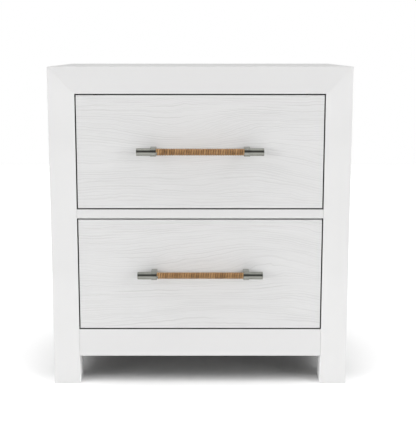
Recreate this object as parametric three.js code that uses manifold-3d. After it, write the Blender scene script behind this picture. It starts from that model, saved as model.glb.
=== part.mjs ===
// Two-drawer nightstand: a painted case on four square legs, mitred where the front and
// rear legs meet the top rails, with two inset drawers on full-extension ball-bearing slides
// and cane-wrapped bar pulls. Units are millimetres. +Z is up, the front faces -Y, and the
// origin is on the floor below the centre of the bounding box, pulls included.
import * as THREE from "three";
import { mergeVertices } from "three/addons/utils/BufferGeometryUtils.js";
import Module from "manifold-3d";

const wasm = await Module();
wasm.setup();

// ---- Driving dimensions ----

const WIDTH = 660;
const HEIGHT = 711;
const DEPTH = 425; // the case alone, without the pulls
const JOINT_GAP = 0.3; // glue-line clearance between neighbouring pieces

const LEG = 58; // square section of each leg, and the height of the top rails
const FOOT_CLEARANCE = 65; // floor to the underside of the aprons
const APRON_HEIGHT = 62;
const APRON_THICKNESS = 22;
const OPENING_HEIGHT = 253; // each of the two drawer openings
const DIVIDER_HEIGHT = 20;
const DIVIDER_DEPTH = 50;

const TOP_PANEL_THICKNESS = 18;
const REBATE = 10; // how far the rails carry the top panel
const SIDE_PANEL_THICKNESS = 12;
const SIDE_PANEL_RECESS = 10; // from the legs' outer faces
const BACK_PANEL_THICKNESS = 6;
const BACK_PANEL_RECESS = 8;
const BOTTOM_PANEL_THICKNESS = 9;
const BOTTOM_PANEL_DROP = 15; // from the top of the aprons to the top of the panel
const TONGUE = 8; // how far a panel runs into its grooves

const GLIDE_RADIUS = 11;
const GLIDE_THICKNESS = 2.5;
const GLIDE_CHAMFER = 0.2;
const GLIDE_PROUD = 0.3; // the rest of a glide is let into its foot
const NAIL_RADIUS = 1.1;
const NAIL_LENGTH = 15;

const FRONT_GAP = 3; // reveal around each drawer front
const FRONT_THICKNESS = 20;
const BOX_HEIGHT = 200;
const BOX_LENGTH = 370;
const BOX_LIFT = 22; // opening's lower edge to the underside of the drawer box
const BOARD = 12.7; // thickness of the drawer box boards
const BOX_BOTTOM_THICKNESS = 6;
const BOX_BOTTOM_LIFT = 12; // the box bottom's height above the boards' lower edges
const BOX_BOTTOM_TONGUE = 6;
const TAIL_COUNT = 4; // dovetails at each corner of a drawer box
const TAIL_HALF_TIP = 19;
const TAIL_HALF_ROOT = 17;

const SLIDE_SPACE = 12.7; // standard side clearance of a ball-bearing slide
const SLIDE_LENGTH = 350;
const SLIDE_START = 22; // behind the front of the case
const SLIDE_LIFT = 100; // opening's lower edge to the slide's centre line
const SHEET_METAL = 1.2;
const RUNNER_HEIGHT = 45;

const PULL_CENTRES = 203; // distance between the two brackets
const PULL_LENGTH = 276;
const PULL_STANDOFF = 25; // drawer face to the bar's axis
const PULL_RISE = 3; // the bar's height above the drawer front's centre
const PULL_BAR_RADIUS = 8.4;
const PULL_CORE_RADIUS = 5;
const PULL_WRAP_RADIUS = 7.4;
const PULL_END_CHAMFER = 0.6;
const WRAP_TUCK = 4; // how far the wrap's ends run into the brackets' bores
const BRACKET_RADIUS = 9.8;
const BRACKET_WIDTH = 13;

const ROUND_SEGMENTS = 28;

// ---- Derived places ----

const HALF_WIDTH = WIDTH / 2;
const HALF_OPENING = HALF_WIDTH - LEG;
const PULL_PROJECTION = PULL_STANDOFF + BRACKET_RADIUS;
const FRONT = (PULL_PROJECTION - DEPTH) / 2; // y of the case's front face
const BACK = FRONT + DEPTH;
const APRON_TOP = FOOT_CLEARANCE + APRON_HEIGHT;
const RAIL_BOTTOM = HEIGHT - LEG;
const HALF_BOX = HALF_OPENING - SLIDE_SPACE;

const OPENINGS = {
  lower: APRON_TOP,
  upper: APRON_TOP + OPENING_HEIGHT + DIVIDER_HEIGHT,
};
const SIDES = { left: -1, right: 1 };

// ---- Materials ----

const paint = new THREE.MeshStandardMaterial({ color: 0xe9e8e6, roughness: 0.45, metalness: 0 });
const frontPaint = new THREE.MeshStandardMaterial({ color: 0xe6e5e3, roughness: 0.55, metalness: 0 });
const boardWood = new THREE.MeshStandardMaterial({ color: 0xcdb083, roughness: 0.6, metalness: 0 });
const blackStain = new THREE.MeshStandardMaterial({ color: 0x3a3836, roughness: 0.7, metalness: 0 });
const nickel = new THREE.MeshStandardMaterial({ color: 0x9a9b94, roughness: 0.32, metalness: 1 });
const zincSteel = new THREE.MeshStandardMaterial({ color: 0xb4b7ba, roughness: 0.35, metalness: 1 });
const cane = new THREE.MeshStandardMaterial({ color: 0xb08150, roughness: 0.6, metalness: 0 });
const nylon = new THREE.MeshStandardMaterial({ color: 0xd8d6d0, roughness: 0.5, metalness: 0 });

// ---- Helpers ----

const nightstand = new THREE.Group();

// A box is { x: [low, high], y: [low, high], z: [low, high] }.
const AXES = ["x", "y", "z"];

function mirrored(box, sign) {
  const [low, high] = box.x;
  return { ...box, x: sign > 0 ? [low, high] : [-high, -low] };
}

function grown(box, margin) {
  const entries = AXES.map((axis) => [axis, [box[axis][0] - margin, box[axis][1] + margin]]);
  return Object.fromEntries(entries);
}

function boxGeometry(box) {
  const sizes = AXES.map((axis) => box[axis][1] - box[axis][0]);
  const centre = AXES.map((axis) => (box[axis][0] + box[axis][1]) / 2);
  return new THREE.BoxGeometry(...sizes).translate(...centre);
}

// Extrudes an outline along +Y: an outline's first coordinate is x and its second is z.
function alongY(shape, start, length) {
  const geometry = new THREE.ExtrudeGeometry(shape, { depth: length, bevelEnabled: false });
  return geometry.rotateX(Math.PI / 2).translate(0, start + length, 0);
}

// Extrudes an outline along +X: an outline's first coordinate is y and its second is z.
function alongX(shape, start, length, curveSegments = 12) {
  const options = { depth: length, bevelEnabled: false, curveSegments };
  const geometry = new THREE.ExtrudeGeometry(shape, options);
  const cycle = new THREE.Matrix4().set(0, 0, 1, start, 1, 0, 0, 0, 0, 1, 0, 0, 0, 0, 0, 1);
  return geometry.applyMatrix4(cycle);
}

function outline(points) {
  return new THREE.Shape(points.map(([u, v]) => new THREE.Vector2(u, v)));
}

function solidOf(geometry) {
  const bare = geometry.clone();
  bare.deleteAttribute("normal");
  bare.deleteAttribute("uv");
  const merged = mergeVertices(bare, 1e-4);
  const mesh = new wasm.Mesh({
    numProp: 3,
    vertProperties: new Float32Array(merged.attributes.position.array),
    triVerts: new Uint32Array(merged.index.array),
  });
  return new wasm.Manifold(mesh);
}

// The geometry left when the cutters, which are geometries too, are taken out of a piece.
function carved(geometry, cutters) {
  const cut = cutters.reduce((solid, cutter) => solid.subtract(solidOf(cutter)), solidOf(geometry));
  const mesh = cut.getMesh();
  const result = new THREE.BufferGeometry();
  result.setAttribute("position", new THREE.BufferAttribute(mesh.vertProperties, 3));
  result.setIndex(new THREE.BufferAttribute(mesh.triVerts, 1));
  result.computeVertexNormals();
  return result;
}

function add(name, material, geometry) {
  const mesh = new THREE.Mesh(geometry, material);
  mesh.name = name;
  nightstand.add(mesh);
  return mesh;
}

function addBoard(name, material, box, cutBoxes = []) {
  const cutters = cutBoxes.map((cut) => boxGeometry(grown(cut, JOINT_GAP)));
  const geometry = boxGeometry(box);
  return add(name, material, cutters.length ? carved(geometry, cutters) : geometry);
}

// ---- Panels that sit in grooves: their boxes cut the pieces that hold them ----

const topPanel = {
  x: [-(HALF_OPENING + REBATE), HALF_OPENING + REBATE],
  y: [FRONT + LEG - REBATE, BACK - LEG + REBATE],
  z: [HEIGHT - TOP_PANEL_THICKNESS, HEIGHT],
};
const sidePanelInner = HALF_WIDTH - SIDE_PANEL_RECESS - SIDE_PANEL_THICKNESS;
const sidePanel = {
  x: [sidePanelInner, HALF_WIDTH - SIDE_PANEL_RECESS],
  y: [FRONT + LEG - TONGUE, BACK - LEG + TONGUE],
  z: [APRON_TOP + JOINT_GAP, RAIL_BOTTOM - JOINT_GAP],
};
const backPanel = {
  x: [-(HALF_OPENING + TONGUE), HALF_OPENING + TONGUE],
  y: [BACK - BACK_PANEL_RECESS - BACK_PANEL_THICKNESS, BACK - BACK_PANEL_RECESS],
  z: [APRON_TOP + JOINT_GAP, RAIL_BOTTOM - JOINT_GAP],
};
const bottomPanelReach = HALF_WIDTH - APRON_THICKNESS + TONGUE;
const bottomPanelTop = APRON_TOP - BOTTOM_PANEL_DROP;
const bottomPanel = {
  x: [-bottomPanelReach, bottomPanelReach],
  y: [FRONT + APRON_THICKNESS - TONGUE, BACK - APRON_THICKNESS + TONGUE],
  z: [bottomPanelTop - BOTTOM_PANEL_THICKNESS, bottomPanelTop],
};
const legBox = (sign, [y0, y1]) =>
  mirrored({ x: [HALF_OPENING, HALF_WIDTH], y: [y0, y1], z: [GLIDE_PROUD, HEIGHT] }, sign);
const LEG_ROWS = { front: [FRONT, FRONT + LEG], rear: [BACK - LEG, BACK] };

// ---- Legs, mitred at the top, and the nailed glides under them ----

function glideProfile(margin) {
  const shank = NAIL_RADIUS + margin;
  return [
    [0, 0],
    [GLIDE_RADIUS + margin - GLIDE_CHAMFER, 0],
    [GLIDE_RADIUS + margin, GLIDE_CHAMFER],
    [GLIDE_RADIUS + margin, GLIDE_THICKNESS + margin],
    [shank, GLIDE_THICKNESS + margin],
    [shank, NAIL_LENGTH - 2 * NAIL_RADIUS],
    [0, NAIL_LENGTH + margin],
  ].map(([r, z]) => new THREE.Vector2(r, z));
}

function glideGeometry(x, y, margin = 0) {
  const geometry = new THREE.LatheGeometry(glideProfile(margin), ROUND_SEGMENTS);
  return geometry.rotateX(Math.PI / 2).translate(x, y, 0);
}

for (const [row, [y0, y1]] of Object.entries(LEG_ROWS)) {
  for (const [side, sign] of Object.entries(SIDES)) {
    const face = outline([
      [sign * HALF_WIDTH, GLIDE_PROUD],
      [sign * HALF_OPENING, GLIDE_PROUD],
      [sign * HALF_OPENING, RAIL_BOTTOM],
      [sign * HALF_WIDTH, HEIGHT],
    ]);
    const centreX = sign * (HALF_WIDTH - LEG / 2);
    const centreY = (y0 + y1) / 2;
    const cutters = [
      boxGeometry(grown(mirrored(sidePanel, sign), JOINT_GAP)),
      glideGeometry(centreX, centreY, JOINT_GAP),
    ];
    if (row === "rear") cutters.push(boxGeometry(grown(backPanel, JOINT_GAP)));
    add(`${row}_leg_${side}`, paint, carved(alongY(face, y0, LEG), cutters));
    add(`${row}_glide_${side}`, nylon, glideGeometry(centreX, centreY));
  }
}

// ---- Top: two mitred rails, two side rails between the legs, and a flush panel ----

const mitreGap = JOINT_GAP * Math.SQRT2;
const railFace = outline([
  [-(HALF_OPENING - mitreGap), RAIL_BOTTOM],
  [HALF_OPENING - mitreGap, RAIL_BOTTOM],
  [HALF_WIDTH - mitreGap, HEIGHT],
  [-(HALF_WIDTH - mitreGap), HEIGHT],
]);
const topPanelCutter = boxGeometry(grown(topPanel, JOINT_GAP));
for (const [row, [y0]] of Object.entries(LEG_ROWS)) {
  add(`top_${row}_rail`, paint, carved(alongY(railFace, y0, LEG), [topPanelCutter]));
}
for (const [side, sign] of Object.entries(SIDES)) {
  const rail = {
    x: [HALF_OPENING, HALF_WIDTH],
    y: [FRONT + LEG + JOINT_GAP, BACK - LEG - JOINT_GAP],
    z: [RAIL_BOTTOM, HEIGHT],
  };
  addBoard(`top_side_rail_${side}`, paint, mirrored(rail, sign), [topPanel]);
}
addBoard("top_panel", paint, topPanel);

// ---- Front and rear rails between the legs ----

const betweenLegs = [-(HALF_OPENING - JOINT_GAP), HALF_OPENING - JOINT_GAP];
const apronZ = [FOOT_CLEARANCE, APRON_TOP];
const apronRows = { front: [FRONT, FRONT + APRON_THICKNESS], rear: [BACK - APRON_THICKNESS, BACK] };
for (const [row, y] of Object.entries(apronRows)) {
  addBoard(`${row}_apron`, paint, { x: betweenLegs, y, z: apronZ }, [bottomPanel]);
}
addBoard("divider_rail", paint, {
  x: betweenLegs,
  y: [FRONT, FRONT + DIVIDER_DEPTH],
  z: [OPENINGS.upper - DIVIDER_HEIGHT, OPENINGS.upper],
});

// ---- Side frames: an apron, a recessed panel and two slide runners on each side ----

for (const [side, sign] of Object.entries(SIDES)) {
  const betweenRows = [FRONT + LEG + JOINT_GAP, BACK - LEG - JOINT_GAP];
  const apron = { x: [HALF_WIDTH - APRON_THICKNESS, HALF_WIDTH], y: betweenRows, z: apronZ };
  addBoard(`side_apron_${side}`, paint, mirrored(apron, sign), [bottomPanel]);
  addBoard(`side_panel_${side}`, paint, mirrored(sidePanel, sign));
  for (const [level, openingBottom] of Object.entries(OPENINGS)) {
    const middle = openingBottom + SLIDE_LIFT;
    const runner = {
      x: [HALF_OPENING, sidePanelInner - JOINT_GAP],
      y: betweenRows,
      z: [middle - RUNNER_HEIGHT / 2, middle + RUNNER_HEIGHT / 2],
    };
    addBoard(`${level}_slide_runner_${side}`, boardWood, mirrored(runner, sign));
  }
}

addBoard("back_panel", paint, backPanel);
const legCuts = Object.values(LEG_ROWS).flatMap((row) => [legBox(-1, row), legBox(1, row)]);
addBoard("bottom_panel", blackStain, bottomPanel, legCuts);

// ---- Slides: three nested steel channels on each side of each drawer ----

// Each channel's web and lips, as distances from the leg's inner face towards the drawer.
const CHANNELS = {
  outer: { web: JOINT_GAP, lip: 10.2, halfHeight: 22.5 },
  middle: { web: 4, lip: 10.8, halfHeight: 18 },
  inner: { web: SLIDE_SPACE - JOINT_GAP, lip: 6.4, halfHeight: 13.5 },
};

function channelFace({ web, lip, halfHeight }, sign, centreZ) {
  const inside = web + Math.sign(lip - web) * SHEET_METAL;
  const points = [
    [web, -halfHeight],
    [lip, -halfHeight],
    [lip, -halfHeight + SHEET_METAL],
    [inside, -halfHeight + SHEET_METAL],
    [inside, halfHeight - SHEET_METAL],
    [lip, halfHeight - SHEET_METAL],
    [lip, halfHeight],
    [web, halfHeight],
  ];
  return outline(points.map(([u, v]) => [sign * (HALF_OPENING - u), centreZ + v]));
}

function addSlides(level, openingBottom) {
  for (const [side, sign] of Object.entries(SIDES)) {
    for (const [member, channel] of Object.entries(CHANNELS)) {
      const face = channelFace(channel, sign, openingBottom + SLIDE_LIFT);
      const geometry = alongY(face, FRONT + SLIDE_START, SLIDE_LENGTH);
      add(`${level}_slide_${member}_${side}`, zincSteel, geometry);
    }
  }
}

// ---- Drawer box: dovetailed sides, sub-front and back around a grooved-in bottom ----

const BOX_FRONT = FRONT + FRONT_THICKNESS + JOINT_GAP;
const BOX_BACK = BOX_FRONT + BOX_LENGTH;

function tailCentres(boxBottom) {
  const pitch = BOX_HEIGHT / TAIL_COUNT;
  return Array.from({ length: TAIL_COUNT }, (_, i) => boxBottom + (i + 0.5) * pitch);
}

// The run of tails up one end of a side board, from its lowest tail to its highest.
function tailRun(boxBottom, tip, root, margin = 0) {
  return tailCentres(boxBottom).map((z) => [
    [root, z - TAIL_HALF_ROOT - margin],
    [tip, z - TAIL_HALF_TIP - margin],
    [tip, z + TAIL_HALF_TIP + margin],
    [root, z + TAIL_HALF_ROOT + margin],
  ]);
}

function sideBoardFace(boxBottom) {
  const frontRoot = BOX_FRONT + BOARD;
  const backRoot = BOX_BACK - BOARD;
  const top = boxBottom + BOX_HEIGHT;
  return outline([
    [frontRoot, boxBottom],
    ...tailRun(boxBottom, BOX_FRONT, frontRoot).flat(),
    [frontRoot, top],
    [backRoot, top],
    ...tailRun(boxBottom, BOX_BACK, backRoot).flat().reverse(),
    [backRoot, boxBottom],
  ]);
}

// The sockets that the side boards' tails fill in one end board, slightly larger than the tails.
function tailSockets(boxBottom, tip, root) {
  const outward = Math.sign(tip - root) * JOINT_GAP;
  const faces = tailRun(boxBottom, tip + outward, root - outward, JOINT_GAP).map(outline);
  const inner = HALF_BOX - BOARD - JOINT_GAP;
  const reach = BOARD + 2 * JOINT_GAP;
  return faces.flatMap((face) => [alongX(face, inner, reach), alongX(face, -inner - reach, reach)]);
}

function addDrawerBox(level, openingBottom) {
  const boxBottom = openingBottom + BOX_LIFT;
  const boardZ = [boxBottom, boxBottom + BOX_HEIGHT];
  const inset = BOARD - BOX_BOTTOM_TONGUE;
  const bottomZ = boxBottom + BOX_BOTTOM_LIFT;
  const bottom = {
    x: [-(HALF_BOX - inset), HALF_BOX - inset],
    y: [BOX_FRONT + inset, BOX_BACK - inset],
    z: [bottomZ, bottomZ + BOX_BOTTOM_THICKNESS],
  };
  const groove = boxGeometry(grown(bottom, JOINT_GAP));
  for (const [side, sign] of Object.entries(SIDES)) {
    const start = sign > 0 ? HALF_BOX - BOARD : -HALF_BOX;
    const geometry = alongX(sideBoardFace(boxBottom), start, BOARD);
    add(`${level}_drawer_side_${side}`, boardWood, carved(geometry, [groove]));
  }
  const ends = {
    sub_front: { tip: BOX_FRONT, root: BOX_FRONT + BOARD, y: [BOX_FRONT, BOX_FRONT + BOARD - JOINT_GAP] },
    back: { tip: BOX_BACK, root: BOX_BACK - BOARD, y: [BOX_BACK - BOARD + JOINT_GAP, BOX_BACK] },
  };
  for (const [end, { tip, root, y }] of Object.entries(ends)) {
    const board = boxGeometry({ x: [-HALF_BOX, HALF_BOX], y, z: boardZ });
    const cutters = [groove, ...tailSockets(boxBottom, tip, root)];
    add(`${level}_drawer_${end}`, boardWood, carved(board, cutters));
  }
  addBoard(`${level}_drawer_bottom`, boardWood, bottom);
}

function addDrawerFront(level, openingBottom) {
  const reach = HALF_OPENING - FRONT_GAP;
  addBoard(`${level}_drawer_front`, frontPaint, {
    x: [-reach, reach],
    y: [FRONT, FRONT + FRONT_THICKNESS],
    z: [openingBottom + FRONT_GAP, openingBottom + OPENING_HEIGHT - FRONT_GAP],
  });
}

// ---- Bar pull: a stepped bar, a cane wrap on its thin middle, and two D-shaped brackets ----

function turned(profile, x, y, z) {
  const points = profile.map(([along, radius]) => new THREE.Vector2(radius, along));
  const geometry = new THREE.LatheGeometry(points, ROUND_SEGMENTS);
  return geometry.rotateZ(-Math.PI / 2).translate(x, y, z);
}

function bracketFace(centreZ) {
  const axisY = FRONT - PULL_STANDOFF;
  const faceY = FRONT - JOINT_GAP;
  const shape = new THREE.Shape();
  shape.moveTo(faceY, centreZ + BRACKET_RADIUS);
  shape.lineTo(axisY, centreZ + BRACKET_RADIUS);
  shape.absarc(axisY, centreZ, BRACKET_RADIUS, Math.PI / 2, (3 * Math.PI) / 2, false);
  shape.lineTo(faceY, centreZ - BRACKET_RADIUS);
  const bore = new THREE.Path();
  bore.absarc(axisY, centreZ, PULL_BAR_RADIUS + JOINT_GAP, 0, 2 * Math.PI, true);
  shape.holes.push(bore);
  return shape;
}

function addPull(level, openingBottom) {
  const axisY = FRONT - PULL_STANDOFF;
  const axisZ = openingBottom + OPENING_HEIGHT / 2 + PULL_RISE;
  const halfLength = PULL_LENGTH / 2;
  const shoulder = (PULL_CENTRES - BRACKET_WIDTH) / 2 + WRAP_TUCK;
  const barProfile = [
    [-halfLength, 0],
    [-halfLength, PULL_BAR_RADIUS - PULL_END_CHAMFER],
    [-halfLength + PULL_END_CHAMFER, PULL_BAR_RADIUS],
    [-shoulder, PULL_BAR_RADIUS],
    [-shoulder, PULL_CORE_RADIUS],
    [shoulder, PULL_CORE_RADIUS],
    [shoulder, PULL_BAR_RADIUS],
    [halfLength - PULL_END_CHAMFER, PULL_BAR_RADIUS],
    [halfLength, PULL_BAR_RADIUS - PULL_END_CHAMFER],
    [halfLength, 0],
  ];
  add(`${level}_pull_bar`, nickel, turned(barProfile, 0, axisY, axisZ));

  const wrapEnd = shoulder - JOINT_GAP;
  const wrapBore = PULL_CORE_RADIUS + JOINT_GAP;
  const wrapProfile = [
    [-wrapEnd, wrapBore],
    [-wrapEnd, PULL_WRAP_RADIUS],
    [wrapEnd, PULL_WRAP_RADIUS],
    [wrapEnd, wrapBore],
    [-wrapEnd, wrapBore],
  ];
  add(`${level}_pull_wrap`, cane, turned(wrapProfile, 0, axisY, axisZ));

  for (const [side, sign] of Object.entries(SIDES)) {
    const start = (sign * PULL_CENTRES) / 2 - BRACKET_WIDTH / 2;
    const geometry = alongX(bracketFace(axisZ), start, BRACKET_WIDTH, ROUND_SEGMENTS);
    add(`${level}_pull_bracket_${side}`, nickel, geometry);
  }
}

for (const [level, openingBottom] of Object.entries(OPENINGS)) {
  addSlides(level, openingBottom);
  addDrawerFront(level, openingBottom);
  addDrawerBox(level, openingBottom);
  addPull(level, openingBottom);
}

export default nightstand;
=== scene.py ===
"""The looks of the two-drawer nightstand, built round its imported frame. Lengths are in metres.

The case is smooth painted wood with a hairline at each joint. The drawer fronts are painted
over deep-brushed grain, which is carved into their meshes. Each pull is a pewter bar whose
middle is wound with one strand of cane.
"""

import math

import bpy
import numpy as np
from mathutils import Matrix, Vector


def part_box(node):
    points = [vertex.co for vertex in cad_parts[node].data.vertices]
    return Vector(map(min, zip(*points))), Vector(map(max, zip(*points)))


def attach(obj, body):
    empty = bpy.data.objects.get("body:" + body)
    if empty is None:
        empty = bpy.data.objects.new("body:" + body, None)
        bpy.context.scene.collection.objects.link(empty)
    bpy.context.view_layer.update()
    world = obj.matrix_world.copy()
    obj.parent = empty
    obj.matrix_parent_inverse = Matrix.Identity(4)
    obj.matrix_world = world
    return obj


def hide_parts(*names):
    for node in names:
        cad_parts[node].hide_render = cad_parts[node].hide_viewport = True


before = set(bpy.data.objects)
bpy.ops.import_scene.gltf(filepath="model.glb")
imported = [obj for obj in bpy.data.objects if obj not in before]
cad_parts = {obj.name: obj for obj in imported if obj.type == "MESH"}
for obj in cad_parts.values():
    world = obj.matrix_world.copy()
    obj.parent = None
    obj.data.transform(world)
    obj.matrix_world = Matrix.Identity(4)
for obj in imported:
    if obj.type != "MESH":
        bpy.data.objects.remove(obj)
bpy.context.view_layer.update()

MM = 0.001
GAP = 0.3 * MM  # the glue-line clearance that the frame keeps between neighbours
SIDES = {"left": -1, "right": 1}
LEVELS = ("upper", "lower")
SMOOTH_ANGLE = math.radians(38)
GRAIN_SMOOTH_ANGLE = math.radians(62)
STRAND_SMOOTH_ANGLE = math.radians(70)

LEG_LOW, LEG_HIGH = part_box("front_leg_right")
FRONT_Y = LEG_LOW.y
INNER_X = LEG_LOW.x
OUTER_X = LEG_HIGH.x
TOP_Z = LEG_HIGH.z
BACK_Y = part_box("rear_leg_right")[1].y
RAIL_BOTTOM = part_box("top_side_rail_right")[0].z
OPENING_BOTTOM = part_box("front_apron")[1].z
BACK_PANEL_Y = sum(corner.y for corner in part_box("back_panel")) / 2

# ---- Camera, floor and light ----

LENS_MM = 80.45
VIEW_DISTANCE = 2.123  # from the front of the case
VIEW_RISE = 0.038  # above the top of the case
VIEW_PITCH = math.radians(9.862)
VIEW_SHIFT = 0.018

FLOOR_X = (-3.0, 3.0)
FLOOR_Y = (-0.75, 4.0)
# The floor brightens to the white behind it: between what distances from the middle, and by how much.
FLOOR_FADE = (0.4, 1.4, 0.45)
# Brightness of the surround behind and in front, as (sine of the elevation, level).
ROUND_LEVELS = [(-0.02, 0.0), (0.02, 0.6), (0.3, 0.0), (0.6, 0.0), (1.0, 2.55)]
FRONT_LEVELS = [(-0.02, 0.6), (0.02, 3.75), (0.25, 0.0)]
# What the metal reflects, in the same way: a white floor, an unlit wall, and soft light above.
REFLECTED_LEVELS = [
    (-0.6, 1.1),
    (-0.35, 0.9),
    (-0.1, 0.45),
    (0.12, 0.08),
    (0.5, 0.05),
    (0.72, 0.25),
    (0.85, 0.45),
    (1.0, 1.0),
]
LIGHT_AIM = (0, FRONT_Y, 0.4)
# Softboxes: azimuths and elevation in degrees, distance, width and height, power in watts, and
# what they light.
SOFTBOXES = {
    "side": ((-50, 50), 20, 3.2, (1.0, 2.6), 20, "all"),
    "high_side": ((-76, 76), 42, 3.2, (1.2, 1.6), 23, "all"),
    "floor": ((-22, 22), 45, 8.0, (3.0, 3.0), 45, "floor"),
    "floor_wide": ((-45, 45), 50, 8.0, (2.5, 4.5), 120, "floor"),
}
# A low light on the inner face of each front leg, from the far side, given in the same way.
FOOT_SOFTBOX = (88, -5, 3.2, (0.3, 0.2), 90)


def make_camera():
    data = bpy.data.cameras.new("camera")
    data.lens = LENS_MM
    data.shift_x = VIEW_SHIFT
    camera = bpy.data.objects.new("camera", data)
    camera.location = (0, FRONT_Y - VIEW_DISTANCE, TOP_Z + VIEW_RISE)
    camera.rotation_euler = (math.pi / 2 - VIEW_PITCH, 0, 0)
    bpy.context.collection.objects.link(camera)
    bpy.context.scene.camera = camera


def add_softbox(name, azimuth, elevation, distance, size, power):
    """A rectangular light aimed at the case. Azimuth 0 is straight in front, and +X is positive."""
    data = bpy.data.lights.new(name, "AREA")
    data.shape = "RECTANGLE"
    data.size, data.size_y = size
    data.energy = power
    light = bpy.data.objects.new(name, data)
    turn, rise = math.radians(azimuth), math.radians(elevation)
    level = math.cos(rise)
    towards = Vector((level * math.sin(turn), -level * math.cos(turn), math.sin(rise)))
    light.location = Vector(LIGHT_AIM) + distance * towards
    light.rotation_euler = towards.to_track_quat("Z", "Y").to_euler()
    light.visible_camera = False
    light.visible_glossy = False
    bpy.context.collection.objects.link(light)
    return light


def light_only(light, receiver, state="INCLUDE"):
    """Keeps a light to one object, or off it when state is EXCLUDE."""
    receivers = bpy.data.collections.new(f"lit_by_{light.name}")
    receivers.objects.link(receiver)
    receivers.collection_objects[0].light_linking.link_state = state
    light.light_linking.receiver_collection = receivers


def make_lights(floor):
    """Soft light from the front and both sides. Some of it falls on the floor alone."""
    for name, (azimuths, *placing, target) in SOFTBOXES.items():
        for azimuth in azimuths:
            light = add_softbox(f"{name}_softbox_{azimuths.index(azimuth)}", azimuth, *placing)
            if target == "floor":
                light_only(light, floor)


def make_foot_lights():
    azimuth, *placing = FOOT_SOFTBOX
    for side, sign in SIDES.items():
        light = add_softbox(f"foot_softbox_{side}", -sign * azimuth, *placing)
        light_only(light, bpy.data.objects[f"painted_front_leg_{side}"])


# ---- Shader nodes ----


def add_node(tree, kind, inputs=None, **settings):
    """A shader node. An input is set by name or number, and a socket given as its value is linked."""
    node = tree.nodes.new(kind)
    for name, value in settings.items():
        setattr(node, name, value)
    for key, value in (inputs or {}).items():
        if isinstance(value, bpy.types.NodeSocket):
            tree.links.new(value, node.inputs[key])
        else:
            node.inputs[key].default_value = value
    return node


def colour_ramp(tree, factor, stops):
    """The colours in stops, each (position, red, green, blue), looked up by factor."""
    node = add_node(tree, "ShaderNodeValToRGB", {"Fac": factor})
    elements = node.color_ramp.elements
    while len(elements) < len(stops):
        elements.new(1.0)
    for element, (position, *colour) in zip(elements, stops):
        element.position = position
        element.color = (*colour, 1)
    return node.outputs["Color"]


def mix_colours(tree, factor, first, second):
    inputs = {"Fac": factor, "Color1": first, "Color2": second}
    return add_node(tree, "ShaderNodeMixRGB", inputs).outputs["Color"]


def maths(tree, operation, first, second=0.0):
    inputs = {0: first, 1: second}
    return add_node(tree, "ShaderNodeMath", inputs, operation=operation).outputs["Value"]


def multiply_colours(tree, first, second):
    inputs = {0: first, 1: second}
    return add_node(tree, "ShaderNodeVectorMath", inputs, operation="MULTIPLY").outputs["Vector"]


def map_range(tree, value, low, high):
    """A value in 0..1 moved to the range low..high."""
    inputs = {"Value": value, "To Min": low, "To Max": high}
    return add_node(tree, "ShaderNodeMapRange", inputs).outputs["Result"]


def stretched_noise(tree, scale, detail=3.0, roughness=0.55, distortion=0.0):
    """Noise in the piece's own place, with scale features per metre along x, y and z."""
    place = add_node(tree, "ShaderNodeTexCoord").outputs["Object"]
    scaled = add_node(tree, "ShaderNodeVectorMath", {0: place, 1: scale}, operation="MULTIPLY")
    settings = {
        "Vector": scaled.outputs["Vector"],
        "Scale": 1.0,
        "Detail": detail,
        "Roughness": roughness,
        "Distortion": distortion,
    }
    return add_node(tree, "ShaderNodeTexNoise", settings).outputs["Fac"]


def bump(tree, height, distance, strength):
    inputs = {"Height": height, "Distance": distance, "Strength": strength}
    return add_node(tree, "ShaderNodeBump", inputs).outputs["Normal"]


def new_material(name, metallic=0.0):
    """An empty material's node tree and its Principled shader."""
    material = bpy.data.materials.new(name)
    material.use_nodes = True
    tree = material.node_tree
    shader = tree.nodes["Principled BSDF"]
    shader.inputs["Metallic"].default_value = metallic
    return material, tree, shader


def drive(tree, shader, **sockets):
    """Links each socket to the shader input of that name, with _ for a space."""
    for name, socket in sockets.items():
        tree.links.new(socket, shader.inputs[name.replace("_", " ")])


# ---- Materials ----


SHADE_START = 0.9 * MM  # behind the front: how far the white paint turns into the drawer openings before the painted shade starts
SHADE_FADE = 0.4 * MM
# Near-black colours, the darker first: painted shade inside the drawer openings, and the dust panel's own
# stain
STAIN_AND_SHADE_COLOURS = ((0.035, 0.033, 0.03), (0.06, 0.057, 0.053))
RINGS_PER_FIGURE = 9.0  # growth rings between the light and dark ends of a board's broad figure


def opening_shade_mask(tree):
    """1 on surfaces within the drawer openings, where the case carries painted shade, and 0 outside."""
    place = add_node(tree, "ShaderNodeTexCoord").outputs["Object"]
    parts = add_node(tree, "ShaderNodeSeparateXYZ", {"Vector": place}).outputs
    across = maths(tree, "ABSOLUTE", parts["X"])
    limits = [
        (across, INNER_X + GAP, -GAP),
        (parts["Y"], FRONT_Y + SHADE_START, SHADE_FADE),
        (parts["Y"], BACK_PANEL_Y, -GAP),
        (parts["Z"], OPENING_BOTTOM - GAP, GAP),
        (parts["Z"], RAIL_BOTTOM + GAP, -GAP),
    ]
    inside = None
    for value, start, fade in limits:
        ends = {"Value": value, "From Min": start, "From Max": start + fade}
        share = add_node(tree, "ShaderNodeMapRange", ends).outputs["Result"]
        inside = share if inside is None else maths(tree, "MULTIPLY", inside, share)
    return inside


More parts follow.
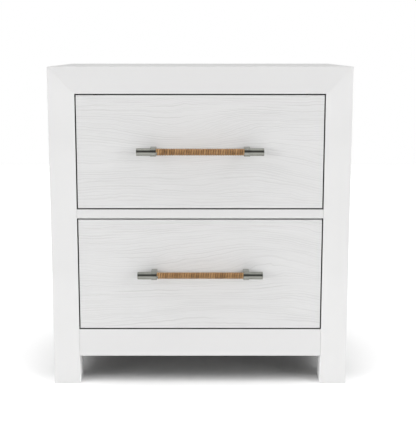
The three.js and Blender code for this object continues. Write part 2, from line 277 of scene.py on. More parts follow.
def make_case_paint():
    """Smooth white paint, with near-black painted shade on the surfaces inside the drawer openings."""
    material, tree, shader = new_material("case_paint")
    cloud = stretched_noise(tree, (3, 3, 3))
    stipple = stretched_noise(tree, (420, 420, 420), detail=2)
    streaks = stretched_noise(tree, (60, 6, 60), detail=3)
    paint = colour_ramp(tree, cloud, [(0.3, 0.778, 0.776, 0.774), (0.7, 0.8, 0.798, 0.796)])
    shade_dark, shade_light = STAIN_AND_SHADE_COLOURS
    # painted shade for the surfaces inside the openings: near black, with faint streaks
    mottle = colour_ramp(tree, streaks, [(0.3, *shade_dark), (0.7, *shade_light)])
    drive(
        tree,
        shader,
        Base_Color=mix_colours(tree, opening_shade_mask(tree), paint, mottle),
        Roughness=map_range(tree, stipple, 0.36, 0.52),
        Normal=bump(tree, stipple, 0.03 * MM, 0.6),
    )
    return material


def make_grain_paint():
    """Paint over brushed grain: painted shade darkens the carved grooves, and fine pores run along x."""
    material, tree, shader = new_material("drawer_front_paint")
    groove = add_node(tree, "ShaderNodeAttribute", attribute_name="groove").outputs["Fac"]
    pores = stretched_noise(tree, (45, 45, 1500), detail=3, roughness=0.6)
    flats = colour_ramp(tree, pores, [(0.3, 0.765, 0.764, 0.762), (0.75, 0.795, 0.794, 0.792)])
    # painted shade: the colour darkens with the depth of the carved grooves
    shade = colour_ramp(tree, groove, [(0.0, 1.0, 1.0, 1.0), (1.0, 0.84, 0.838, 0.835)])
    drive(
        tree,
        shader,
        Base_Color=multiply_colours(tree, flats, shade),
        Roughness=map_range(tree, pores, 0.42, 0.62),
        Normal=bump(tree, pores, 0.08 * MM, 0.7),
    )
    return material


def make_board_wood(name, along, dark, light):
    """Clear-lacquered boards whose grain runs along the axis numbered along."""
    material, tree, shader = new_material(name)
    across = [38.0] * 3
    across[along] = 1.6
    fine = [900.0] * 3
    fine[along] = 14.0
    figure = stretched_noise(tree, across, detail=4, distortion=1.2)
    pores = stretched_noise(tree, fine, detail=2)
    rings = maths(tree, "PINGPONG", maths(tree, "MULTIPLY", figure, RINGS_PER_FIGURE), 1.0)
    blend = maths(tree, "MULTIPLY", rings, pores)
    colour = colour_ramp(tree, blend, [(0.05, *light), (0.6, *dark)])
    drive(
        tree,
        shader,
        Base_Color=colour,
        Roughness=map_range(tree, pores, 0.38, 0.55),
        Normal=bump(tree, pores, 0.05 * MM, 0.5),
    )
    return material


def make_metal(name, dark, light, roughness, brush):
    """Plated metal with fine brush marks. brush is the number of features per metre along each axis."""
    material, tree, shader = new_material(name, metallic=1.0)
    marks = stretched_noise(tree, brush, detail=4, roughness=0.65)
    cloud = stretched_noise(tree, (35, 35, 35), detail=2)
    colour = colour_ramp(tree, cloud, [(0.3, *dark), (0.7, *light)])
    low, high = roughness
    drive(
        tree,
        shader,
        Base_Color=colour,
        Roughness=map_range(tree, marks, low, high),
        Normal=bump(tree, marks, 0.015 * MM, 0.6),
    )
    return material


def make_cane():
    """Split cane: each turn has its own tone, painted shade darkens its creases, and fibres run along the
    strand.
    """
    material, tree, shader = new_material("wrap_cane")
    tone = add_node(tree, "ShaderNodeAttribute", attribute_name="tone").outputs["Fac"]
    fibres = stretched_noise(tree, (1900, 90, 90), detail=3, roughness=0.6)
    mottle = stretched_noise(tree, (60, 160, 160), detail=3)
    total = maths(tree, "ADD", maths(tree, "ADD", tone, fibres), mottle)
    mean = maths(tree, "DIVIDE", total, 3.0)
    stops = [(0.3, 0.16, 0.08, 0.028), (0.5, 0.36, 0.2, 0.08), (0.7, 0.56, 0.34, 0.155)]
    # painted shade in the creases between turns: darker where the strand's crown falls away to its base
    crown = add_node(tree, "ShaderNodeAttribute", attribute_name="crown").outputs["Fac"]
    crease_stops = [(0.1, 0.3, 0.26, 0.22), (0.7, 0.8, 0.77, 0.74), (1.0, 1.0, 1.0, 1.0)]
    shade = colour_ramp(tree, crown, crease_stops)
    drive(
        tree,
        shader,
        Base_Color=multiply_colours(tree, colour_ramp(tree, mean, stops), shade),
        Roughness=map_range(tree, fibres, 0.38, 0.6),
        Normal=bump(tree, fibres, 0.12 * MM, 0.8),
    )
    return material


def make_nylon():
    material, tree, shader = new_material("glide_nylon")
    grit = stretched_noise(tree, (900, 900, 900), detail=2)
    drive(
        tree,
        shader,
        Base_Color=colour_ramp(tree, grit, [(0.3, 0.62, 0.61, 0.58), (0.7, 0.7, 0.69, 0.66)]),
        Roughness=map_range(tree, grit, 0.45, 0.65),
        Normal=bump(tree, grit, 0.02 * MM, 0.5),
    )
    return material


def make_floor_finish():
    """White to the camera, fading into the white behind it. The light that it sends back to the
    nightstand is that of a greyer floor."""
    material, tree, shader = new_material("floor")
    cloud = stretched_noise(tree, (2, 2, 2))
    seen = colour_ramp(tree, cloud, [(0.0, 0.86, 0.86, 0.86), (1.0, 0.88, 0.88, 0.88)])
    bounced = colour_ramp(tree, cloud, [(0.0, 0.59, 0.59, 0.59), (1.0, 0.61, 0.61, 0.61)])
    direct = add_node(tree, "ShaderNodeLightPath").outputs["Is Camera Ray"]
    place = add_node(tree, "ShaderNodeTexCoord").outputs["Object"]
    radius = add_node(tree, "ShaderNodeVectorMath", {0: place}, operation="LENGTH").outputs["Value"]
    near, far, lift = FLOOR_FADE
    ends = {"Value": radius, "From Min": near, "From Max": far, "To Max": lift}
    faded = add_node(tree, "ShaderNodeMapRange", ends).outputs["Result"]
    glow = maths(tree, "MULTIPLY", faded, direct)
    drive(tree, shader, Base_Color=mix_colours(tree, direct, bounced, seen), Emission_Strength=glow)
    shader.inputs["Roughness"].default_value = 0.9
    shader.inputs["Specular IOR Level"].default_value = 0.0
    shader.inputs["Emission Color"].default_value = (1, 1, 1, 1)
    return material


CASE_PAINT = make_case_paint()
GRAIN_PAINT = make_grain_paint()
PALE_BOARD = ((0.42, 0.27, 0.14), (0.66, 0.47, 0.28))
SIDE_BOARD = make_board_wood("board_along_y", 1, *PALE_BOARD)
CROSS_BOARD = make_board_wood("board_along_x", 0, *PALE_BOARD)
PLYWOOD = make_board_wood("plywood", 1, (0.5, 0.35, 0.2), (0.7, 0.53, 0.34))
BLACK_STAIN = make_board_wood("dust_panel", 1, *STAIN_AND_SHADE_COLOURS)
PEWTER = make_metal(
    "pull_metal", (0.32, 0.325, 0.295), (0.41, 0.415, 0.375), roughness=(0.12, 0.22), brush=(2600, 60, 60)
)
ZINC = make_metal(
    "slide_steel", (0.5, 0.52, 0.54), (0.62, 0.64, 0.66), roughness=(0.28, 0.42), brush=(700, 25, 700)
)
CANE = make_cane()
NYLON = make_nylon()


# ---- Mesh building ----


def signed_volume(points, quads, caps):
    """Six times the volume inside a closed shape: negative if its faces point inwards."""
    a, b, c, d = points[quads].transpose(1, 0, 2)
    total = np.sum(np.cross(b, c) * a) + np.sum(np.cross(c, d) * a)
    for cap in caps:
        corners = points[cap]
        total += np.sum(np.cross(corners[1:-1], corners[2:]) @ corners[0])
    return total


def ring_shape(rings, closed=False):
    """Points and outward faces through rings of equal numbers of points. Both ends are capped, unless
    closed joins the last ring to the first."""
    points = np.concatenate([np.asarray(ring, dtype=float) for ring in rings])
    count = len(rings[0])
    here = np.arange(count)
    there = np.roll(here, -1)
    near = count * np.arange(len(rings) if closed else len(rings) - 1)[:, None]
    far = (near + count) % len(points)
    quads = np.stack([near + here, near + there, far + there, far + here], axis=2).reshape(-1, 4)
    caps = [] if closed else [here[::-1], here + len(points) - count]
    faces = quads.tolist() + [cap.tolist() for cap in caps]
    if signed_volume(points, quads, caps) < 0:
        faces = [face[::-1] for face in faces]
    return points, faces


def joined_mesh(name, shapes):
    """One mesh of one or more shapes."""
    points, faces = [], []
    start = 0
    for shape_points, shape_faces in shapes:
        points.extend(shape_points.tolist())
        faces.extend([[start + corner for corner in face] for face in shape_faces])
        start += len(shape_points)
    mesh = bpy.data.meshes.new(name)
    mesh.from_pydata(points, [], faces)
    return mesh


def ring_mesh(name, rings, closed=False):
    return joined_mesh(name, [ring_shape(rings, closed)])


def set_point_values(mesh, name, values):
    """A named value on each point, which a material can read."""
    mesh.attributes.new(name, "FLOAT", "POINT").data.foreach_set("value", values)


def smooth(mesh, angle=SMOOTH_ANGLE):
    """Smooth shading everywhere but at edges sharper than the angle."""
    mesh.polygons.foreach_set("use_smooth", [True] * len(mesh.polygons))
    mesh.set_sharp_from_angle(angle=angle)


def add_piece(mesh, material, body, nodes=()):
    piece = bpy.data.objects.new(mesh.name, mesh)
    bpy.context.collection.objects.link(piece)
    mesh.materials.append(material)
    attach(piece, body)
    if nodes:
        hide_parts(*nodes)
    return piece


def circle(count):
    """Cosines and sines of that many equal steps round a circle."""
    angles = np.linspace(0, 2 * math.pi, count, endpoint=False)
    return np.cos(angles), np.sin(angles)


def turned_rings(profile, centre, count):
    """Rings round a line along x: profile lists (place along x from the centre, radius)."""
    cosines, sines = circle(count)
    rings = []
    for along, radius in profile:
        x = np.full(count, centre[0] + along)
        rings.append(np.column_stack([x, centre[1] + radius * cosines, centre[2] + radius * sines]))
    return rings


# ---- Painted case ----

EASING = 0.5 * MM  # rounding of the free edges
JOINT_EASING = 0.16 * MM  # rounding where two pieces meet, which leaves a hairline
MITRE_GAP = 0.12 * MM  # between the mitred faces, measured along x


def is_joint(normal, joint_axes):
    """True for a face that meets a neighbour: a mitre, or one square to an axis in joint_axes."""
    square = [abs(component) > 0.99 for component in normal]
    return not any(square) or any(square["xyz".index(axis)] for axis in joint_axes)


def ease_edges(piece, joint_axes):
    """Rounds a plain solid's edges, much less along the faces that meet a neighbour."""
    mesh = piece.data
    joint_faces = [face for face in mesh.polygons if is_joint(face.normal, joint_axes)]
    joint_edges = {tuple(sorted(key)) for face in joint_faces for key in face.edge_keys}
    weights = mesh.attributes.new("bevel_weight_edge", "FLOAT", "EDGE")
    for edge in mesh.edges:
        at_joint = tuple(sorted(edge.vertices)) in joint_edges
        weights.data[edge.index].value = JOINT_EASING / EASING if at_joint else 1.0
    mesh.polygons.foreach_set("use_smooth", [True] * len(mesh.polygons))
    bevel = piece.modifiers.new("eased_edges", "BEVEL")
    bevel.limit_method = "WEIGHT"
    bevel.width = EASING
    bevel.segments = 4
    bevel.use_clamp_overlap = False
    piece.modifiers.new("flat_faces", "WEIGHTED_NORMAL")


def add_board(node, low=None, high=None, joint_axes="", outline=None):
    """A painted board in the place of a node: its whole box, the part of it between low and high,
    or an outline of (x, z) corners as deep as the node."""
    node_low, node_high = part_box(node)
    low = low or node_low
    high = high or node_high
    corners = outline or [(low.x, low.z), (high.x, low.z), (high.x, high.z), (low.x, high.z)]
    rings = [[(x, y, z) for x, z in corners] for y in (low.y, high.y)]
    piece = add_piece(ring_mesh(f"painted_{node}", rings), CASE_PAINT, "case", [node])
    ease_edges(piece, joint_axes)


def add_mitred_frame():
    """The four legs and the two rails that they are mitred to."""
    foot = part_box("front_leg_right")[0].z
    rail = [
        (-(INNER_X - MITRE_GAP), RAIL_BOTTOM),
        (INNER_X - MITRE_GAP, RAIL_BOTTOM),
        (OUTER_X - MITRE_GAP, TOP_Z),
        (-(OUTER_X - MITRE_GAP), TOP_Z),
    ]
    for row in ("front", "rear"):
        add_board(f"top_{row}_rail", outline=rail)
        for side, sign in SIDES.items():
            leg = [(OUTER_X, foot), (INNER_X, foot), (INNER_X, RAIL_BOTTOM), (OUTER_X, TOP_Z)]
            add_board(f"{row}_leg_{side}", outline=[(sign * x, z) for x, z in leg])


def add_panels():
    """Panels are shown only where they are seen, between the legs that hold their edges."""
    leg_depth = LEG_HIGH.y - LEG_LOW.y
    front = FRONT_Y + leg_depth + GAP
    back = BACK_Y - leg_depth - GAP
    for node in ("top_panel", "back_panel", "side_panel_left", "side_panel_right"):
        low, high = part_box(node)
        if not node.startswith("side"):
            low.x, high.x = GAP - INNER_X, INNER_X - GAP
        if node != "back_panel":
            low.y, high.y = front, back
        add_board(node, low, high, joint_axes="xyz")


def add_rails():
    for node in ("divider_rail", "front_apron", "rear_apron"):
        add_board(node, joint_axes="x")
    for side in SIDES:
        add_board(f"side_apron_{side}", joint_axes="y")
        add_board(f"top_side_rail_{side}", joint_axes="y")


# ---- Drawer fronts with carved grain ----

# Where the growth rings swing on each front: centre across and up from the front's middle,
# half-width, half-height, and how far the rings are lifted.
RING_SWINGS = {
    "upper": [
        (-0.050, 0.040, 0.130, 0.036, -0.030),
        (0.110, 0.060, 0.110, 0.030, 0.010),
        (0.120, -0.052, 0.110, 0.046, 0.020),
        (0.300, -0.052, 0.110, 0.055, -0.020),
        (0.280, 0.050, 0.130, 0.030, 0.009),
        (0.280, -0.002, 0.120, 0.028, -0.010),
        (-0.150, -0.080, 0.120, 0.040, 0.010),
    ],
    "lower": [
        (0.070, 0.078, 0.190, 0.048, 0.027),
        (0.155, 0.030, 0.085, 0.030, 0.018),
        (0.290, 0.090, 0.070, 0.040, -0.014),
        (-0.140, 0.000, 0.110, 0.040, -0.010),
        (0.050, -0.078, 0.210, 0.048, 0.020),
        (0.210, -0.040, 0.080, 0.026, 0.012),
    ],
}
RING_SEEDS = {"upper": 11, "lower": 42}
# Smaller waves in every ring: their height, and their lengths across and up.
RING_WAVES = [
    (4.0 * MM, 0.11, 0.04),
    (1.7 * MM, 0.032, 0.014),
    (0.7 * MM, 0.011, 0.007),
    (0.25 * MM, 0.0045, 0.004),
]
RING_SPACING = 6.0 * MM
FINE_RING_SPACING = 3.1 * MM
FINE_RING_DEPTH = 0.5  # as a share of a bold ring's
RING_DRIFT = (0.9, 0.028)  # unevenness of the spacing: how many rings, over what height
GROOVE_FADE_LENGTH = 0.075
LEAST_CROWDING = 0.15  # keeps grooves from spreading without end where the rings run level
GROOVE_HALF_WIDTH = 0.5 * MM
GROOVE_DEPTH = 0.4 * MM
FRONT_EASING = 0.55 * MM
ROW_STEP = 0.5 * MM
COLUMN_STEP = 2.0 * MM
NOISE_CELLS = 256


def lattice_noise(u, v, seed):
    """Smooth noise between -1 and 1 with one feature for each unit of u and of v."""
    table = np.random.default_rng(seed).uniform(-1, 1, (NOISE_CELLS, NOISE_CELLS))
    cell_u, cell_v = np.floor(u).astype(int), np.floor(v).astype(int)
    part_u, part_v = u - cell_u, v - cell_v
    ease_u, ease_v = part_u**2 * (3 - 2 * part_u), part_v**2 * (3 - 2 * part_v)

    def corner(du, dv):
        return table[(cell_u + du) % NOISE_CELLS, (cell_v + dv) % NOISE_CELLS]

    low = corner(0, 0) * (1 - ease_u) + corner(1, 0) * ease_u
    high = corner(0, 1) * (1 - ease_u) + corner(1, 1) * ease_u
    return low * (1 - ease_v) + high * ease_v


def ring_height(x, z, level):
    """The height at which the ring through each point would run on a board with straight grain."""
    seed = RING_SEEDS[level]
    height = z.copy()
    for centre_x, centre_z, half_width, half_height, lift in RING_SWINGS[level]:
        reach = ((x - centre_x) / half_width) ** 2 + ((z - centre_z) / half_height) ** 2
        height -= lift * np.exp(-reach)
    for step, (size, length_x, length_z) in enumerate(RING_WAVES):
        height += size * lattice_noise(x / length_x, z / length_z, seed + step)
    return height


def ring_grooves(x, height, crowding, spacing, seed):
    """Grooves between 0 and 1, one for each ring. Each has its own strength, and fades along x."""
    drift, drift_span = RING_DRIFT
    place = height / spacing + drift * lattice_noise(height / drift_span, height * 0, seed)
    ring = np.round(place)
    offset = (place - ring) * spacing / crowding
    strength = 0.5 + 0.75 * lattice_noise(x / GROOVE_FADE_LENGTH, ring * 1.37 + 0.5, seed + 1)
    return np.clip(strength, 0, 1) * np.exp(-((offset / GROOVE_HALF_WIDTH) ** 2))


def grain(x, z, level):
    """Groove depth between 0 and 1 at each point, measured from the middle of the front."""
    height = ring_height(x, z, level)
    above = ring_height(x, z + ROW_STEP, level)
    crowding = np.abs(above - height) / ROW_STEP + LEAST_CROWDING
    seed = RING_SEEDS[level] + 10
    bold = ring_grooves(x, height, crowding, RING_SPACING, seed)
    fine = FINE_RING_DEPTH * ring_grooves(x, height, crowding, FINE_RING_SPACING, seed + 5)
    return np.maximum(bold, fine)


def eased_steps(low, high, step, easing):
    """Places from low to high, about a step apart, but closer near both ends, where the edge is
    rounded."""
    close = easing * np.array([0, 0.2, 0.5, 0.9, 1.4])
    count = max(2, round((high - low - 2 * close[-1]) / step))
    middle = np.linspace(low + close[-1], high - close[-1], count + 1)
    return np.concatenate([low + close[:-1], middle, (high - close[:-1])[::-1]])


def add_drawer_front(level):
    node = f"{level}_drawer_front"
    low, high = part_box(node)
    middle = (low + high) / 2
    columns = eased_steps(low.x, high.x, COLUMN_STEP, FRONT_EASING)
    rows = eased_steps(low.z, high.z, ROW_STEP, FRONT_EASING)
    x, z = np.meshgrid(columns, rows)
    grooves = grain(x - middle.x, z - middle.z, level)
    from_side = np.minimum(x - low.x, high.x - x)
    from_edge = np.minimum(z - low.z, high.z - z)
    round_x = np.maximum(0, FRONT_EASING - from_side)
    round_z = np.maximum(0, FRONT_EASING - from_edge)
    reach = np.minimum(FRONT_EASING, np.hypot(round_x, round_z))
    rounding = FRONT_EASING - np.sqrt(FRONT_EASING**2 - reach**2)
    y = low.y + rounding + GROOVE_DEPTH * grooves
    face = np.stack([x, y, z], axis=2)
    back = [[(high.x, high.y, height), (low.x, high.y, height)] for height in rows]
    mesh = ring_mesh(f"painted_{node}", np.concatenate([face, np.array(back)], axis=1))
    depth = np.concatenate([grooves, np.zeros((len(rows), 2))], axis=1)
    # groove depth, which the front's material turns into painted shade
    set_point_values(mesh, "groove", depth.ravel())
    smooth(mesh, GRAIN_SMOOTH_ANGLE)
    add_piece(mesh, GRAIN_PAINT, f"{level}_drawer", [node])


# ---- Pulls ----

WRAP_PITCH = 5.25 * MM
WRAP_STEPS_PER_TURN = 44
STRAND_GAP = 0.15 * MM
STRAND_WANDER = (0.12 * MM, 1.7)  # unevenness along the bar: how far, and how often in each turn
STRAND_SWELL = (0.06 * MM, 2.9)  # and outwards
STRAND_BASE = 0.7 * MM  # the strand's flat sides, below its round crown
WRAP_END_GAP = 0.9 * MM
END_TURN_TONE = 0.95  # the first and last turns are paler than most
BAR_CORE_RADIUS = 5.0 * MM  # the bar's thin middle, under the wrap
STRAND_INNER_RADIUS = BAR_CORE_RADIUS + 0.15 * MM
BAR_END_EASING = 0.9 * MM
CAP_LENGTH = 3.0 * MM  # from the bar's end to the fine line round its cap
CAP_LINE = (0.45 * MM, 0.3 * MM)  # width and depth
BRACKET_EASING = 0.8 * MM
BRACKET_POINTS = 96
BAR_POINTS = 72


def add_pull_bar(level):
    node = f"{level}_pull_bar"
    low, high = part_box(node)
    centre = (low + high) / 2
    half_length = (high.x - low.x) / 2
    radius = (high.z - low.z) / 2
    wrap_low, wrap_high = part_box(f"{level}_pull_wrap")
    shoulder = (wrap_high.x - wrap_low.x) / 2 + GAP
    end = [(half_length, radius - BAR_END_EASING)]
    for step in range(1, 6):
        angle = step * math.pi / 10
        along = half_length - BAR_END_EASING * (1 - math.cos(angle))
        end.append((along, radius - BAR_END_EASING * (1 - math.sin(angle))))
    cap = half_length - CAP_LENGTH
    line_width, line_depth = CAP_LINE
    bottom = radius - line_depth
    line = [(cap - line_width, radius), (cap - line_width, bottom), (cap, bottom), (cap, radius)]
    right = [(shoulder, BAR_CORE_RADIUS), (shoulder, radius)] + line + end[::-1]
    profile = [(-along, size) for along, size in right[::-1]] + right
    mesh = ring_mesh(f"{level}_bar", turned_rings(profile, centre, BAR_POINTS))
    smooth(mesh)
    add_piece(mesh, PEWTER, f"{level}_drawer", [node])


def strand_section(width, thickness, points=13):
    """A round crown on a flat base: each point's place along x, height above the base, and share
    of the crown's height."""
    angles = np.linspace(0, math.pi, points)
    crown = np.concatenate([np.sin(angles), [0, 0]])
    along = width / 2 * np.concatenate([np.cos(angles), [-1, 1]])
    outward = STRAND_BASE + (thickness - STRAND_BASE) * crown
    outward[-2:] = 0
    return along, outward, crown


def strand_noise(turned, unevenness, seed):
    size, rate = unevenness
    return size * lattice_noise(turned * rate, turned * 0, seed)


def add_wrap(level):
    """One strand of cane wound round the bar's thin middle, with a tone of its own on each turn."""
    node = f"{level}_pull_wrap"
    low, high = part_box(node)
    centre = (low + high) / 2
    outer = (high.z - low.z) / 2
    turns = (high.x - low.x - 2 * WRAP_END_GAP) / WRAP_PITCH - 1
    steps = round(turns * WRAP_STEPS_PER_TURN)
    turned = np.linspace(0, turns, steps + 1)
    rng = np.random.default_rng(RING_SEEDS[level])
    turn_tones = rng.uniform(0.25, 0.75, math.ceil(turns) + 2)
    turn_tones[[0, 1, -3, -2]] = END_TURN_TONE
    tones = np.interp(turned, np.arange(len(turn_tones)), turn_tones)
    wander = strand_noise(turned, STRAND_WANDER, RING_SEEDS[level] + 3)
    swell = strand_noise(turned, STRAND_SWELL, RING_SEEDS[level] + 4)
    along, outward, crown = strand_section(WRAP_PITCH - STRAND_GAP, outer - STRAND_INNER_RADIUS)
    rings = []
    for step, turn in enumerate(turned):
        angle = 2 * math.pi * turn
        radius = STRAND_INNER_RADIUS + swell[step] + outward
        x = low.x + WRAP_END_GAP + WRAP_PITCH * (turn + 0.5) + wander[step] + along
        y = centre.y - radius * math.cos(angle)
        rings.append(np.column_stack([x, y, centre.z + radius * math.sin(angle)]))
    mesh = ring_mesh(f"{level}_cane_wrap", rings)
    set_point_values(mesh, "tone", np.repeat(tones, len(along)))
    # the crown's share, which the cane material turns into painted shade in the creases
    set_point_values(mesh, "crown", np.tile(crown, len(rings)))
    smooth(mesh, STRAND_SMOOTH_ANGLE)
    add_piece(mesh, CANE, f"{level}_drawer", [node])


def bracket_outline(radius, axis_y, back_y, height, inset):
    """The bracket seen along the bar: a half circle in front, and a flat top and bottom that run
    back to the drawer."""
    size = radius - inset
    cosines, sines = circle(BRACKET_POINTS)
    depth = back_y - axis_y
    reach = np.full(BRACKET_POINTS, size)
    behind = cosines > 1e-9
    reach[behind] = np.minimum(size / np.maximum(np.abs(sines[behind]), 1e-9), depth / cosines[behind])
    return np.stack([axis_y + reach * cosines, height + reach * sines], axis=1)


def add_bracket(level, side):
    """A D-shaped block with rounded rims, bored for the bar."""
    node = f"{level}_pull_bracket_{side}"
    low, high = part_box(node)
    bar_low, bar_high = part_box(f"{level}_pull_bar")
    axis = (bar_low + bar_high) / 2
    radius = (high.z - low.z) / 2
    bore = (bar_high.z - bar_low.z) / 2 + GAP
    cosines, sines = circle(BRACKET_POINTS)
    bore_outline = np.stack([axis.y + bore * cosines, axis.z + bore * sines], axis=1)
    rims = []
    for step in range(5):
        angle = step * math.pi / 8
        rims.append((BRACKET_EASING * (1 - math.sin(angle)), BRACKET_EASING * (1 - math.cos(angle))))
    left = [(low.x + along, inset) for inset, along in rims[::-1]]
    right = [(high.x - along, inset) for inset, along in rims]
    loops = []
    for x, inset in left[::-1] + right[::-1]:
        loops.append((x, bracket_outline(radius, axis.y, high.y, axis.z, inset)))
    loops += [(high.x, bore_outline), (low.x, bore_outline)]
    rings = [np.column_stack([np.full(BRACKET_POINTS, x), outline]) for x, outline in loops]
    mesh = ring_mesh(f"{level}_bracket_{side}", rings, closed=True)
    smooth(mesh)
    add_piece(mesh, PEWTER, f"{level}_drawer", [node])


# ---- Slides and screws ----

BEND_RADIUS = 1.8 * MM
# How far each rolled lip turns back, and how far in its edge stops short.
LIP_RETURNS = {"outer": 2.6 * MM, "middle": 2.4 * MM, "inner": 1.6 * MM}
SHEET_METAL = 1.2 * MM
BALL_RADIUS = 1.5 * MM
BALL_TIP = (0.99, 0.14)  # place and radius of the small flat on each side, as shares of the radius
BALL_SPACING = 7.5 * MM
CAGE_LENGTH = 150 * MM
CAGE_MARGIN = 6 * MM  # from the end of the middle member
# Ball cages: the sheet's thickness, then across from the leg to its web, its edge and its balls.
CAGES = {
    "outer": (0.8 * MM, 2.75 * MM, 8.8 * MM, 7.2 * MM),
    "inner": (0.6 * MM, 5.8 * MM, 9.4 * MM, 8.0 * MM),
}
SCREW_POINTS = 48
# A screw head's dome: shares of its radius and of its height. Its cross recess: the arms' length
# and half width as shares of the radius, then how much the floor narrows and how high it lies.
SCREW_DOME = [(1.0, 0.02), (1.0, 0.25), (0.93, 0.6), (0.78, 0.85), (0.58, 1.0)]
SCREW_RECESS = (0.5, 0.11)
RECESS_FLOOR = (0.8, 0.45)
SLIDE_SCREWS = (0.08, 0.4, 0.72)  # along the slide, as shares of its length
SLIDE_SCREW_RADIUS = 3.2 * MM
SLIDE_SCREW_HEIGHTS = {"outer": 0.6 * MM, "inner": 1.5 * MM}
PULL_SCREW = (4.6 * MM, 2.2 * MM)  # head radius and height
FRONT_SCREW = (3.6 * MM, 1.9 * MM)
FRONT_SCREW_X = 0.19
FRONT_SCREW_RISES = (-0.055, 0.055)  # from the middle of the sub-front


def rounded_path(corners, radius, steps=5):
    """A polyline with each inner corner rounded off."""
    corners = [np.array(corner, dtype=float) for corner in corners]
    path = [corners[0]]
    for before, corner, after in zip(corners, corners[1:], corners[2:]):
        start = corner + (before - corner) * radius / np.linalg.norm(before - corner)
        end = corner + (after - corner) * radius / np.linalg.norm(after - corner)
        for t in np.linspace(0, 1, steps):
            path.append((1 - t) ** 2 * start + 2 * t * (1 - t) * corner + t**2 * end)
    path.append(corners[-1])
    return np.array(path)


def sheet_outline(path, thickness):
    """The closed outline of a sheet with a path along its middle."""
    along = np.gradient(path, axis=0)
    across = np.stack([-along[:, 1], along[:, 0]], axis=1) / np.linalg.norm(along, axis=1)[:, None]
    return np.concatenate([path + across * thickness / 2, (path - across * thickness / 2)[::-1]])


def run_along_y(outline, side, centre_z, y_span):
    """A solid through an outline, given across from the leg's inner face and up from the slide's
    middle."""
    x = SIDES[side] * (INNER_X - outline[:, 0])
    z = centre_z + outline[:, 1]
    return ring_shape([np.column_stack([x, np.full(len(x), y), z]) for y in y_span])


def slide_span(level, member, side):
    """A slide member's extent across from the leg, its middle height, half height and ends."""
    low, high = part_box(f"{level}_slide_{member}_{side}")
    across = sorted(INNER_X - abs(x) for x in (low.x, high.x))
    return across, (low.z + high.z) / 2, (high.z - low.z) / 2, (low.y, high.y)


def add_slide_member(level, member, side):
    """A channel rolled from sheet, with a lip turned back along each edge."""
    (near, far), centre_z, half_height, y_span = slide_span(level, member, side)
    half_sheet = SHEET_METAL / 2
    web, lip = near + half_sheet, far - half_sheet
    if member == "inner":
        web, lip = lip, web
    edge = half_height - half_sheet
    turned = edge - LIP_RETURNS[member]
    corners = [(lip, -turned), (lip, -edge), (web, -edge), (web, edge), (lip, edge), (lip, turned)]
    outline = sheet_outline(rounded_path(corners, BEND_RADIUS), SHEET_METAL)
    node = f"{level}_slide_{member}_{side}"
    mesh = joined_mesh(f"rolled_{node}", [run_along_y(outline, side, centre_z, y_span)])
    smooth(mesh)
    body = {"outer": "case", "middle": f"{level}_slide_middles", "inner": f"{level}_drawer"}[member]
    add_piece(mesh, ZINC, body, [node])


def ball_shape(centre, points=12):
    """A ball between two small flats."""
    angles = np.linspace(-math.pi / 2, math.pi / 2, points // 2 + 1)[1:-1]
    profile = [(BALL_RADIUS * math.sin(angle), BALL_RADIUS * math.cos(angle)) for angle in angles]
    tip_place, tip_radius = BALL_TIP
    tips = [(sign * BALL_RADIUS * tip_place, BALL_RADIUS * tip_radius) for sign in (-1, 1)]
    return ring_shape(turned_rings([tips[0], *profile, tips[1]], centre, points))


def add_ball_cage(level, neighbour, side):
    """The cage and balls between the middle member and one neighbour. They travel with the
    middle member."""
    _, centre_z, middle_half, (front, back) = slide_span(level, "middle", side)
    _, _, neighbour_half, _ = slide_span(level, neighbour, side)
    sheet, web, edge, ball_across = CAGES[neighbour]
    race = (middle_half + neighbour_half - SHEET_METAL) / 2
    corners = [(edge, -race), (web, -race), (web, race), (edge, race)]
    start = back - CAGE_MARGIN - CAGE_LENGTH if neighbour == "outer" else front + CAGE_MARGIN
    outline = sheet_outline(rounded_path(corners, BEND_RADIUS), sheet)
    shapes = [run_along_y(outline, side, centre_z, (start, start + CAGE_LENGTH))]
    x = SIDES[side] * (INNER_X - ball_across)
    for y in np.arange(start + BALL_SPACING, start + CAGE_LENGTH - BALL_SPACING / 2, BALL_SPACING):
        shapes += [ball_shape((x, y, centre_z + sign * race)) for sign in (-1, 1)]
    mesh = joined_mesh(f"{level}_{neighbour}_ball_cage_{side}", shapes)
    smooth(mesh)
    add_piece(mesh, ZINC, f"{level}_slide_middles")


def cross_outline(arm, half_width):
    """Distances from the middle to a plus sign's outline, at equal steps round it."""
    angles = np.linspace(0, 2 * math.pi, SCREW_POINTS, endpoint=False)
    from_arm = np.abs((angles + math.pi / 4) % (math.pi / 2) - math.pi / 4)
    return np.minimum(arm / np.cos(from_arm), half_width / np.maximum(np.sin(from_arm), 1e-6))


def screw_shape(place, axis, radius, height):
    """A domed screw head with a cross recess, standing on place and facing along axis, +-x or +-y."""
    cosines, sines = circle(SCREW_POINTS)
    recess = cross_outline(*SCREW_RECESS)
    floor_share, floor_rise = RECESS_FLOOR
    levels = [(np.full(SCREW_POINTS, share), rise) for share, rise in SCREW_DOME]
    levels += [(recess, 1.0), (recess * floor_share, floor_rise)]
    outward = Vector(axis)
    first = Vector((0, 1, 0)) if abs(outward.x) > 0.5 else Vector((1, 0, 0))
    second = Vector((0, 0, 1))
    rings = []
    for reach, rise in levels:
        middle = np.array(place) + np.array(outward) * height * rise
        ring = middle + radius * (np.outer(reach * cosines, first) + np.outer(reach * sines, second))
        rings.append(ring)
    return ring_shape(rings)


def add_screws(name, body, material, screws):
    mesh = joined_mesh(name, [screw_shape(*screw) for screw in screws])
    smooth(mesh)
    add_piece(mesh, material, body)


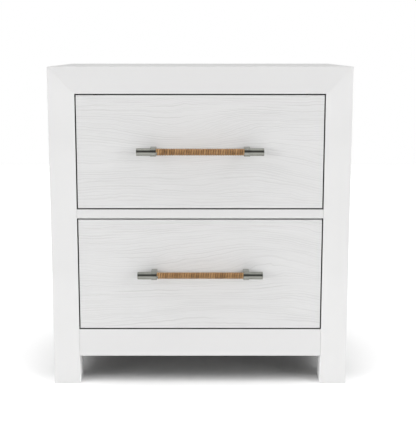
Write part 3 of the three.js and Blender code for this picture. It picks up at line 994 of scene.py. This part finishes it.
def add_slides(level):
    for side, sign in SIDES.items():
        for member in ("outer", "middle", "inner"):
            add_slide_member(level, member, side)
        for neighbour in CAGES:
            add_ball_cage(level, neighbour, side)
        for member, body, facing in (("outer", "case", -sign), ("inner", f"{level}_drawer", sign)):
            (near, far), centre_z, _, (front, back) = slide_span(level, member, side)
            web = near + SHEET_METAL if member == "outer" else far - SHEET_METAL
            height = SLIDE_SCREW_HEIGHTS[member]
            screws = []
            for share in SLIDE_SCREWS:
                place = (sign * (INNER_X - web), front + share * (back - front), centre_z)
                screws.append((place, (facing, 0, 0), SLIDE_SCREW_RADIUS, height))
            add_screws(f"{level}_{member}_slide_screws_{side}", body, ZINC, screws)


def add_front_screws(level):
    """Inside the drawer: wood screws that hold the front on, and the pull's two machine screws."""
    low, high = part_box(f"{level}_drawer_sub_front")
    pull_low, pull_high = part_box(f"{level}_pull_bracket_right")
    pull_x = (pull_low.x + pull_high.x) / 2
    pull_z = (pull_low.z + pull_high.z) / 2
    middle_z = (low.z + high.z) / 2
    screws = []
    for sign in SIDES.values():
        screws.append(((sign * pull_x, high.y, pull_z), (0, 1, 0), *PULL_SCREW))
        for rise in FRONT_SCREW_RISES:
            screws.append(((sign * FRONT_SCREW_X, high.y, middle_z + rise), (0, 1, 0), *FRONT_SCREW))
    add_screws(f"{level}_front_screws", f"{level}_drawer", ZINC, screws)


# ---- Kept frame nodes and small parts ----


def paint_node(name, material):
    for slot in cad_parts[name].material_slots:
        slot.material = material


def finish_drawer_box(level):
    for side in SIDES:
        paint_node(f"{level}_drawer_side_{side}", SIDE_BOARD)
        paint_node(f"{level}_slide_runner_{side}", SIDE_BOARD)
    for board in ("sub_front", "back"):
        paint_node(f"{level}_drawer_{board}", CROSS_BOARD)
    paint_node(f"{level}_drawer_bottom", PLYWOOD)


def make_floor():
    corners = [(FLOOR_X[i], FLOOR_Y[j], 0) for i, j in ((0, 0), (1, 0), (1, 1), (0, 1))]
    mesh = bpy.data.meshes.new("floor")
    mesh.from_pydata(corners, [], [(0, 1, 2, 3)])
    mesh.materials.append(make_floor_finish())
    floor = bpy.data.objects.new("floor", mesh)
    bpy.context.collection.objects.link(floor)
    return floor


def level_ramp(tree, height, levels):
    """The brightness in levels at a sine of elevation, which is moved from -1..1 to the ramp's 0..1."""
    place = add_node(tree, "ShaderNodeMapRange", {"Value": height, "From Min": -1.0}).outputs["Result"]
    return colour_ramp(tree, place, [((sine + 1) / 2, level, level, level) for sine, level in levels])


def make_sky():
    """Soft light all round. Reflections show an unlit wall, and the camera itself sees white."""
    world = bpy.data.worlds.new("studio")
    bpy.context.scene.world = world
    world.use_nodes = True
    tree = world.node_tree
    direction = add_node(tree, "ShaderNodeTexCoord").outputs["Generated"]
    parts = add_node(tree, "ShaderNodeSeparateXYZ", {"Vector": direction})
    ahead = add_node(
        tree,
        "ShaderNodeMapRange",
        {"Value": parts.outputs["Y"], "From Min": -0.1, "From Max": -0.5},
        interpolation_type="SMOOTHSTEP",
    )
    height = parts.outputs["Z"]
    around = level_ramp(tree, height, ROUND_LEVELS)
    front = level_ramp(tree, height, FRONT_LEVELS)
    reflected = level_ramp(tree, height, REFLECTED_LEVELS)
    ray = add_node(tree, "ShaderNodeLightPath").outputs
    lit = mix_colours(tree, ahead.outputs["Result"], around, front)
    lit = mix_colours(tree, ray["Is Glossy Ray"], lit, reflected)
    inputs = {0: lit, 1: ray["Is Camera Ray"]}
    shown = add_node(tree, "ShaderNodeVectorMath", inputs, operation="MAXIMUM")
    tree.links.new(shown.outputs["Vector"], tree.nodes["Background"].inputs["Color"])


bpy.context.scene.view_settings.view_transform = "Standard"
make_camera()
make_sky()
make_lights(make_floor())

add_mitred_frame()
make_foot_lights()
add_panels()
add_rails()
for drawer in LEVELS:
    add_drawer_front(drawer)
    add_pull_bar(drawer)
    add_wrap(drawer)
    for end in SIDES:
        add_bracket(drawer, end)
    finish_drawer_box(drawer)
    add_slides(drawer)
    add_front_screws(drawer)
paint_node("bottom_panel", BLACK_STAIN)
for row in ("front", "rear"):
    for end in SIDES:
        paint_node(f"{row}_glide_{end}", NYLON)
